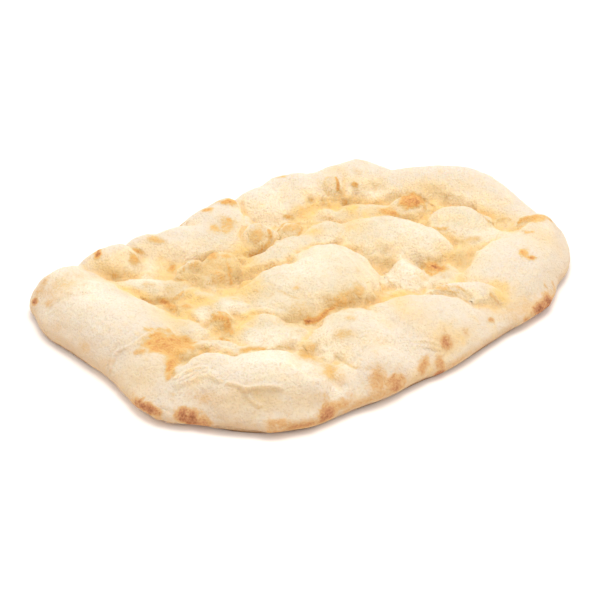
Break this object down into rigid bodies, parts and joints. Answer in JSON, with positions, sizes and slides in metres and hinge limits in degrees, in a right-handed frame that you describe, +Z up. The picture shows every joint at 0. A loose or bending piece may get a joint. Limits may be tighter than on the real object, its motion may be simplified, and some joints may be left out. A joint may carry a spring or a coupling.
{
  "type": "pinsa base",
  "caption": "Flat oval bread base with a puffed rim, gas pillows pressed against each other and a flat underside to rest on.",
  "frame": {"origin": "middle of the plan outline, on the plane the bread rests on", "axes": "+X along the length, +Y across the width to the far side, +Z up through the thickness"},
  "size_m": [0.3152, 0.2163, 0.0295],
  "materials": {
    "crust": "matt floured bread crust, pale with browned blisters"
  },
  "bodies": {
    "root": {"pinsa_base": "crust"}
  },
  "joints": []
}
